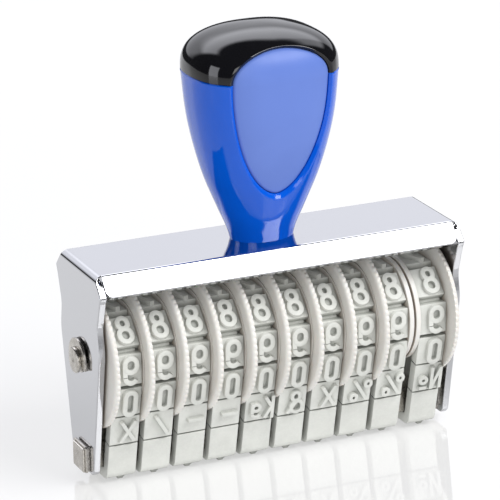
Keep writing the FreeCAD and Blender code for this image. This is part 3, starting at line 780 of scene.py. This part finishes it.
def lip_points(cut):
    """The section of a lip that is cut short: (y, drop below the sheet's outer surface)."""
    length = math.hypot(lip_flare, lip_drop)
    down = (lip_flare / length, -lip_drop / length)
    turn = math.pi / 2 - math.atan2(lip_flare, lip_drop)
    tangent = lip_bend * math.tan(turn / 2)
    points = []
    for a in angles(math.pi / 2, math.pi / 2 - turn, BEND_STEPS):
        points.append((top_half - tangent + lip_bend * math.cos(a), -lip_bend + lip_bend * math.sin(a)))
    end = (top_half + down[0] * (length - cut), down[1] * (length - cut))
    inner_end = (end[0] + down[1] * sheet, end[1] - down[0] * sheet)
    beyond = (inner_end[0] - down[0] * overrun, inner_end[1] - down[1] * overrun)
    points += rounded([points[-1], end, inner_end, beyond], [0, lip_tip_corner, lip_tip_corner, 0], 1,
                      closed=False)[1:-1]
    inner_corner = (top_half - lip_inset, -sheet)
    inner = [inner_end, inner_corner, (inner_corner[0] - overrun, -sheet)]
    return points + rounded(inner, [0, lip_inner_corner, 0], BEND_STEPS - 1, closed=False)[1:-1]


def both_sides(points):
    """A half section and its mirror image, as one loop."""
    return points + [(x, -y, z) for x, y, z in reversed(points)]


def plate_section(outer, inner, half, shrink=0.0):
    """A section of the plain sheet between its outer and inner (x, z)."""
    points = []
    for y, share in edge_points(half):
        x, z = between(outer, inner, 0.5 + (share - 0.5) * (1 - shrink))
        points.append((x, y, z))
    return both_sides(points)


def frame_sections():
    """Closed sections from the left foot to the right foot."""
    centre_x, centre_z = outer_half - side_bend, top_z - side_bend
    inner_bend = side_bend - sheet

    def fall(x, bend):
        """How far a side bend has dropped at x."""
        return bend - math.sqrt(bend ** 2 - max(0.0, abs(x) - centre_x) ** 2)

    def lip_section(x, cut):
        loop = lip_points(cut)
        inner_start = len(loop) - BEND_STEPS
        return both_sides([(x, y, top_z + z - fall(x, inner_bend if i >= inner_start else side_bend))
                           for i, (y, z) in enumerate(loop)])

    # left side plate, foot first
    left = []
    for rise, narrow in FOOT_ROUNDING:
        z = plate_clear_of_print + rise
        half = half_width_at(z) - narrow
        left.append(plate_section((-outer_half, z), (-inner_half, z), half, narrow * 1.6))
    stops = [z for w, z in PLATE_EDGE if plate_clear_of_print + 0.5 < z < centre_z - 0.3]
    filler = [plate_clear_of_print + rise for rise in plate_stations]
    for z in sorted(set(round(z, 3) for z in stops + [z for z in filler if z < centre_z - 1.5])):
        left.append(plate_section((-outer_half, z), (-inner_half, z), half_width_at(z)))
    # bend
    lip_end = inner_half - lip_end_gap
    ends = [math.asin((lip_end - centre_x) / bend) for bend in (side_bend, inner_bend)]
    for turned in zip(*(angles(math.pi / 2, end, 12) for end in ends)):
        outer, inner = ((-(centre_x + bend * math.sin(a)), centre_z + bend * math.cos(a))
                        for bend, a in zip((side_bend, inner_bend), turned))
        left.append(plate_section(outer, inner, half_width_at(outer[1])))
    # top plate with its lips, each with a round corner at its end
    run = [(-lip_end + lip_end_corner * (1 - math.cos(a)), lip_end_corner * (1 - math.sin(a)))
           for a in angles(0, math.pi / 2, 8)]
    run += [(step - lip_end, 0.0) for step in top_stations]
    lips = [lip_section(x, cut) for x, cut in run + [(-x, cut) for x, cut in reversed(run)]]
    return left + lips + [[(-x, y, z) for x, y, z in part] for part in reversed(left)]


def cut_away(piece, cutters):
    """Exact boolean cuts, applied."""
    for cutter in cutters:
        modifier = piece.modifiers.new("cut", "BOOLEAN")
        modifier.operation = "DIFFERENCE"
        modifier.solver = "EXACT"
        modifier.object = cutter
    bpy.context.view_layer.update()
    evaluated = piece.evaluated_get(bpy.context.evaluated_depsgraph_get())
    mesh = bpy.data.meshes.new_from_object(evaluated)
    piece.modifiers.clear()
    piece.data = mesh
    for cutter in cutters:
        bpy.data.objects.remove(cutter)


def make_frame():
    verts, faces = skin(frame_sections())
    piece = add_object("sheet_frame", verts, faces, CHROME, "stamp_body", "frame", 40.0,
                       False)
    reach = outer_half + overrun
    bore = circle(axle_radius + hole_play, 96, (0, axle_z))
    slot = tab_depth / 2 + hole_play
    low, high = plate_clear_of_print - overrun, tab_bottom + tab_height + hole_play
    window = rounded([(-slot, low), (-slot, high), (slot, high), (slot, low)], slot_corner)
    hole = circle(screw_radius + hole_play, 48)
    cuts = {"bore_cut": [[(x, y, z) for y, z in bore] for x in (-reach, reach)],
            "slot_cut": [[(x, y, z) for y, z in window] for x in (-reach, reach)],
            "screw_cut": [[(x, y, z) for x, y in hole] for z in (under_z - overrun, top_z + overrun)]}
    cut_away(piece, [new_object(name, *skin(sections)) for name, sections in cuts.items()])
    piece.data.set_sharp_from_angle(angle=math.radians(40))
    even_normals(piece)


make_frame()


# Axle, bar and their clips
def add_steel(name, verts, faces, replaced, sharp=40.0):
    add_object(name, verts, faces, STEEL, "stamp_body", replaced, sharp)


def groove_span(side):
    near = outer_half + groove_inset
    return sorted((side * near, side * (near + groove_width)))


def clip_span(side):
    start, end = groove_span(side)
    return start + clip_play, end - clip_play


def make_axle():
    reach = outer_half + axle_reach
    a0, a1 = groove_span(1)
    deep = axle_radius - groove_depth
    half = [(0, axle_radius), (a0, axle_radius), (a0, deep), (a1, deep), (a1, axle_radius),
            (reach, axle_radius), (reach, pin_end_radius), (reach - pin_end_rise, 0.0)]
    half_radii = [0, 0.1, 0.08, 0.08, 0.12, 0.45, 0.2, 0]
    corners = [(-x, r) for x, r in reversed(half[1:])] + half
    profile = rounded(corners, half_radii[:0:-1] + half_radii, 4, closed=False)
    verts, faces = lathe(profile, 96)
    # the profile is open along the axis: drop the faces between its two ends
    size = len(profile)
    add_steel("axle_pin", verts, [f for f in faces if f[0] % size != size - 1], "wheel_axle")


def make_axle_clip(side, word):
    inner = axle_radius - groove_depth + clip_play
    open_half = math.radians(axle_clip_open_angle / 2)
    turn = angles(-math.pi / 2 + open_half, math.pi * 1.5 - open_half, 40)
    outline = [(r * math.cos(a), axle_z + r * math.sin(a))
               for r, way in ((axle_clip_radius, turn[::-1]), (inner, turn)) for a in way]
    verts, faces = soft_prism(outline, *clip_span(side), clip_edge, 0.0, 2)
    add_steel("axle_ring_" + word, verts, faces, "axle_clip_" + word)


def make_anvil():
    half = half_cell - anvil_side_play
    top = anvil_bottom + anvil_height
    shells = Shells()
    bar = [(-half, anvil_bottom), (-half, top), (half, top), (half, anvil_bottom)]
    shells.add(*soft_prism(bar, sink - inner_half, inner_half - sink, bar_edge, bar_corner, 5))
    reach = outer_half + tab_reach
    near, far = groove_span(1)
    # place along X, depth of the groove and rounding of the end
    stations = [(stack / 2 + sink, 0.0, 0.0), (near, 0.0, 0.0), (near + 0.001, groove_depth, 0.0),
                (far - 0.001, groove_depth, 0.0), (far, 0.0, 0.0), (reach - tab_edge, 0.0, 0.0),
                (reach - tab_edge * 0.3, 0.0, tab_edge * 0.3), (reach, 0.0, tab_edge)]
    for side in (-1, 1):
        sections = []
        for x, notch, inset in stations:
            y = tab_depth / 2 - notch - inset
            z0, z1 = tab_bottom + inset, tab_bottom + tab_height - notch - inset
            loop = rounded([(-y, z0), (-y, z1), (y, z1), (y, z0)], tab_edge, 3)
            sections.append([(side * x, *point) for point in loop])
        shells.add(*skin(sections))
    add_steel("print_bar", shells.verts, shells.faces, "anvil_bar", 35.0)


def make_anvil_clip(side, word):
    outer = tab_depth / 2 + anvil_clip_stand
    inner = tab_depth / 2 - groove_depth + clip_play
    top = tab_bottom + tab_height + anvil_clip_stand
    low = tab_bottom + clip_play
    roof = tab_bottom + tab_height - groove_depth + clip_play
    outline = [(-outer, low), (-outer, top), (outer, top), (outer, low),
               (inner, low), (inner, roof), (-inner, roof), (-inner, low)]
    radii = [0.35, 0.9, 0.9, 0.35, 0.25, 0.3, 0.3, 0.25]
    verts, faces = soft_prism(outline, *clip_span(side), clip_edge, radii, 4)
    add_steel("bar_clip_" + word, verts, faces, "anvil_clip_" + word)


make_axle()
make_anvil()
for clip_side, clip_word in ((-1, "left"), (1, "right")):
    make_axle_clip(clip_side, clip_word)
    make_anvil_clip(clip_side, clip_word)


# Handle
def smooth_share(share):
    """Half width, half depth and roundness at a share of the body's height, on a smooth curve."""
    rows = BODY_SHARES
    share = max(rows[0][0], min(rows[-1][0], share))
    i = 0
    while i < len(rows) - 2 and share > rows[i + 1][0]:
        i += 1
    span = rows[i + 1][0] - rows[i][0]
    t = (share - rows[i][0]) / span

    def slope(k, column):
        low, high = rows[max(0, k - 1)], rows[min(len(rows) - 1, k + 1)]
        return (high[column] - low[column]) / (high[0] - low[0])
    start, end = 2 * t ** 3 - 3 * t ** 2 + 1, 3 * t ** 2 - 2 * t ** 3
    leave, arrive = (t ** 3 - 2 * t ** 2 + t) * span, (t ** 3 - t ** 2) * span
    return [start * rows[i][column] + leave * slope(i, column) + end * rows[i + 1][column]
            + arrive * slope(i + 1, column) for column in (1, 2, 3)]


def handle_size(z):
    """Half width, half depth and roundness of the handle at a height."""
    if z <= parting_z:
        width, depth, roundness = smooth_share((z - top_z) / handle_height)
        return handle_half_width * width, handle_half_depth * depth, roundness
    level = min(1.0, (z - parting_z) / (cap_top_z - parting_z))
    size = math.sqrt(max(1e-8, 1 - level ** dome_power))
    return handle_half_width * size, handle_half_depth * size, BODY_SHARES[-1][3]


def surface_point(alpha, z, sign):
    """A point of the handle's form: alpha runs from -90 to 90 degrees across the front."""
    a, b, n = handle_size(z)
    s, c = math.sin(alpha), math.cos(alpha)
    return (a * math.copysign(abs(s) ** (2 / n), s), sign * b * abs(c) ** (2 / n), z)


def alpha_at(x, z):
    a, b, n = handle_size(z)
    return math.copysign(math.asin(min(1.0, abs(x / a)) ** (n / 2)), x)


def depth_at(x, z, inset=0.0):
    a, b, n = handle_size(z)
    return (b - inset) * max(0.0, 1 - min(1.0, abs(x / a)) ** n) ** (1 / n)


def egg_point(t):
    """The inlay's outline in (x, z), widest on the parting line, and its outward normal, at an angle."""
    rise = top_z + panel_top_share * handle_height - parting_z
    drop = parting_z - top_z - panel_bottom_share * handle_height

    def at(a):
        c, s = math.cos(a), math.sin(a)
        reach = abs(c) if s > 0 else abs(c) ** egg_taper_share
        return (math.copysign(panel_half_width * reach, c), parting_z + s * (rise if s > 0 else drop))
    along = direction(at(t - 0.01), at(t + 0.01))[0]
    return at(t), (along[1], -along[0])


def crease_point(t):
    """Where the bevel round the inlay meets the handle's form."""
    (x, z), (nx, nz) = egg_point(t)
    base = depth_at(x, z, panel_inset)
    slope = panel_bevel / panel_inset
    low, high = panel_play, panel_play + 2 * panel_bevel
    for _ in range(40):
        out = (low + high) / 2
        if out < panel_play + slope * (depth_at(x + nx * out, z + nz * out) - base):
            low = out
        else:
            high = out
    return (x + nx * low, z + nz * low)


def dome_z(psi):
    """Height of the dome's line at an angle above the parting line."""
    return parting_z + (cap_top_z - parting_z) * math.sin(psi) ** (2 / dome_power)


def far_end(f, upper):
    """Where a ray ends, as (alpha, height): up one side, across the far end and down the other side."""
    side = 1 if upper else -1
    start, end = (0.0, dome_end) if upper else (parting_z, top_z)
    if f < ray_corner_share:
        return side * math.pi / 2, start + (end - start) * f / ray_corner_share
    if f > 1 - ray_corner_share:
        return -side * math.pi / 2, start + (end - start) * (1 - f) / ray_corner_share
    return side * math.pi * (0.5 - (f - ray_corner_share) / (1 - 2 * ray_corner_share)), end


def half_shell(upper, sign):
    """Rays from the inlay's seat out to the sides, for the cap or for the body, on one side."""
    rays = []
    for i in range(RAYS + 1):
        t = math.pi * i / RAYS + (0.0 if upper else math.pi)
        (ex, ez), (nx, nz) = egg_point(t)
        cx, cz = crease_point(t)
        px, pz = ex + nx * panel_play, ez + nz * panel_play
        if i in (0, RAYS):
            pz = ez
            cz = ez
        base = depth_at(ex, ez, panel_inset)
        seat_edge, crease = (px, sign * base, pz), (cx, sign * depth_at(cx, cz), cz)
        ray = [(px, sign * (base - pocket_depth), pz), (px, sign * (base - pocket_lip), pz)]
        ray += [between(seat_edge, crease, share) for share in (0.06, 0.5, 0.93)]
        near = cz
        if upper:
            level = max(0.0, (cz - parting_z) / (cap_top_z - parting_z))
            near = math.asin(min(1.0, level ** (dome_power / 2)))
        start, end = (alpha_at(cx, cz), near), far_end(i / RAYS, upper)
        for share in RAY_SHARES:
            alpha, height = between(start, end, share)
            ray.append(surface_point(alpha, dome_z(height) if upper else height, sign))
        rays.append(ray)
    # a small step at the parting line: the edge rows sit a little inside
    rows = []
    narrow, flat = 1 - parting_step / handle_half_width, 1 - parting_step / handle_half_depth
    rise = parting_depth if upper else -parting_depth
    for i in (0, RAYS):
        rows.append([(x * narrow, y * flat, z) for x, y, z in rays[i]])
        rays[i] = [(x, y, z + rise) for x, y, z in rays[i]]
    return [rows[0], *rays, rows[1]]


def make_handle_part(name, upper, material, replaced):
    """The cap or the body of the grip: two half shells, the far end and the face at the parting line."""
    verts = []
    faces = []
    starts = []
    far_face = []
    for sign in (-1, 1):
        rays = half_shell(upper, sign)
        size = len(rays[0])
        start = len(verts)
        starts.append(start)
        verts += [point for ray in rays for point in ray]
        for i in range(len(rays) - 1):
            for k in range(size - 1):
                a = start + i * size + k
                faces.append((a, a + 1, a + size + 1, a + size))
        # pocket floor
        faces.append(tuple(start + i * size for i in range(len(rays))))
        for i in range(len(rays))[::-sign]:
            end = start + i * size + size - 1
            if (verts[end][2] > cap_top_z - dome_opening) if upper else (verts[end][2] < top_z + hair):
                far_face.append(end)
    faces.append(tuple(far_face))

    def row(shift):
        """One ray of the front, and the same ray of the back from its far end."""
        front, back = ([start + shift + k for k in range(size)] for start in starts)
        return front + back[::-1]
    faces.append(tuple(row(0) + row((len(rays) - 1) * size)[::-1]))
    add_object(name, verts, faces, material, "stamp_body", replaced, 32.0, False)


def make_panel(name, sign, replaced):
    """The inlay: a smooth face that follows the handle's form, with a rounded edge and a side wall."""
    outline = [egg_point(t) for t in whole_turn(160)]

    def ring(inset, fall, share=1.0):
        """The outline drawn in by an inset, lowered, and shrunk to a share about the middle."""
        points = []
        for (ex, ez), (nx, nz) in outline:
            x, z = between((0, panel_middle), (ex - nx * inset, ez - nz * inset), share)
            points.append((x, sign * (depth_at(x, z, panel_inset) - fall), z))
        return points
    rings = [ring(panel_edge, 0.0, k / 16) for k in range(1, 17)]
    for a in angles(0, math.pi / 2, 6)[1:]:
        rings.append(ring(panel_edge * (1 - math.sin(a)), panel_edge * 0.8 * (1 - math.cos(a))))
    rings.append(ring(0.0, panel_wall))
    verts, faces = skin(rings, caps=False)
    centre = len(verts)
    count = len(outline)
    verts.append((0, sign * depth_at(0, panel_middle, panel_inset), panel_middle))
    faces += [(i, (i + 1) % count, centre) for i in range(count)]
    faces.append(tuple(range(centre - count, centre)))
    add_object(name, verts, faces, PANEL, "stamp_body", replaced, 50.0, False)


make_handle_part("grip_body", False, BLUE, "handle_body")
make_handle_part("grip_cap", True, BLACK, "handle_cap")
make_panel("front_inlay", -1, "front_panel")
make_panel("rear_inlay", 1, "rear_panel")

for node in ("handle_screw", "screw_washer"):
    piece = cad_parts[node]
    piece.data.materials.clear()
    piece.data.materials.append(STEEL)


# Floor, lamps and world
FLOOR_RADIUS = 1200
FLOOR_GLOW = 0.46
DIM = 0.05
DIFFUSE = 0.50
# Glow of each panel, and its soft limits along the axes of the direction seen
PANELS = (
    (1.15, (("Y", 0.36, 0.46), ("Z", 0.08, 0.13), ("Z", 0.86, 0.76), ("X", -0.52, -0.36))),
    (1.90, (("Y", 0.05, 0.20), ("Z", 0.42, 0.58), ("Z", 0.86, 0.76), ("X", -0.52, -0.36))),
    (3.50, (("X", -0.80, -0.84), ("Y", -0.20, -0.16), ("Y", 0.24, 0.20), ("Z", 0.42, 0.36))),
)


def make_floor():
    """A pale gloss table that keeps the shadow and the mirror image."""
    n = Nodes("floor")
    n.set(Base_Color=(0.42, 0.42, 0.42, 1), Roughness=0.05, IOR=1.7)
    n.set(Emission_Color=(1, 1, 1, 1), Emission_Strength=FLOOR_GLOW)
    verts = [(x, y, 0) for x, y in circle(FLOOR_RADIUS, 64)]
    floor = new_object("studio_floor", verts, [tuple(range(len(verts)))])
    floor.data.materials.append(n.material)


def make_lamp(name, place, target, width, height, power):
    data = bpy.data.lights.new(name, "AREA")
    data.shape = "RECTANGLE"
    data.size, data.size_y = width * MM, height * MM
    data.energy = power
    lamp = bpy.data.objects.new(name, data)
    lamp.location = Vector(place) * MM
    lamp.rotation_euler = (Vector(target) - Vector(place)).to_track_quat("-Z", "Y").to_euler()
    bpy.context.collection.objects.link(lamp)


def make_world():
    """White to the camera, even to diffuse rays, and a few soft panels in a dim room to glossy rays."""
    world = bpy.data.worlds.new("studio")
    bpy.context.scene.world = world
    world.use_nodes = True
    tree = world.node_tree

    def node(kind, inputs, **settings):
        return add_node(tree, kind, inputs, settings)

    def mix(share, a, b, **settings):
        return node("ShaderNodeMix", {"Factor": share, "A": a, "B": b},
                    data_type="RGBA", **settings).outputs["Result"]

    way = node("ShaderNodeSeparateXYZ", {0: node("ShaderNodeTexCoord", {}).outputs["Generated"]})
    level = DIM
    for glow, limits in PANELS:
        for axis, start, end in limits:
            inputs = {"Value": way.outputs[axis], "From Min": start, "From Max": end}
            inside = node("ShaderNodeMapRange", inputs, interpolation_type="SMOOTHSTEP").outputs["Result"]
            glow = node("ShaderNodeMath", {0: inside, 1: glow}, operation="MULTIPLY").outputs[0]
        level = node("ShaderNodeMath", {0: level, 1: glow}, operation="ADD").outputs[0]
    tint = mix(1.0, level, (0.965, 0.975, 1.04, 1), blend_type="MULTIPLY")
    path = node("ShaderNodeLightPath", {})
    lit = mix(path.outputs["Is Glossy Ray"], (DIFFUSE, DIFFUSE, DIFFUSE, 1), tint)
    background = tree.nodes["Background"]
    tree.links.new(mix(path.outputs["Is Camera Ray"], lit, (1, 1, 1, 1)), background.inputs["Color"])
    background.inputs["Strength"].default_value = 1.0


make_floor()
make_world()
make_lamp("key_box", (342, -486, 735), (0, 0, 60), 520, 420, 5.5)
make_lamp("fill_box", (-420, -760, 330), (0, 0, 50), 380, 380, 1.6)


# Camera: fitted to the photograph's long edges
def make_camera():
    yaw, pitch, roll = math.radians(23.76), math.radians(18.72), math.radians(-0.83)
    focal_pixels, photo_pixels, distance = 3157.0, 500, 908.0
    shift_x, shift_y = 12.7, -76.4
    target = Vector((0, 0, 37))
    back = Vector((-math.sin(yaw) * math.cos(pitch), -math.cos(yaw) * math.cos(pitch), math.sin(pitch)))
    right = (-back).cross(Vector((0, 0, 1))).normalized()
    up = right.cross(-back)
    right, up = (math.cos(roll) * right + math.sin(roll) * up, -math.sin(roll) * right + math.cos(roll) * up)
    place = target + back * distance - (right * shift_x + up * shift_y) * (distance / focal_pixels)
    data = bpy.data.cameras.new("photo_camera")
    data.sensor_width = 36.0
    data.lens = focal_pixels * data.sensor_width / photo_pixels
    camera = bpy.data.objects.new("photo_camera", data)
    camera.matrix_world = Matrix.Translation(place * MM) @ Matrix((right, up, back)).transposed().to_4x4()
    bpy.context.collection.objects.link(camera)
    bpy.context.scene.camera = camera


make_camera()
bpy.context.scene.view_settings.view_transform = "Standard"
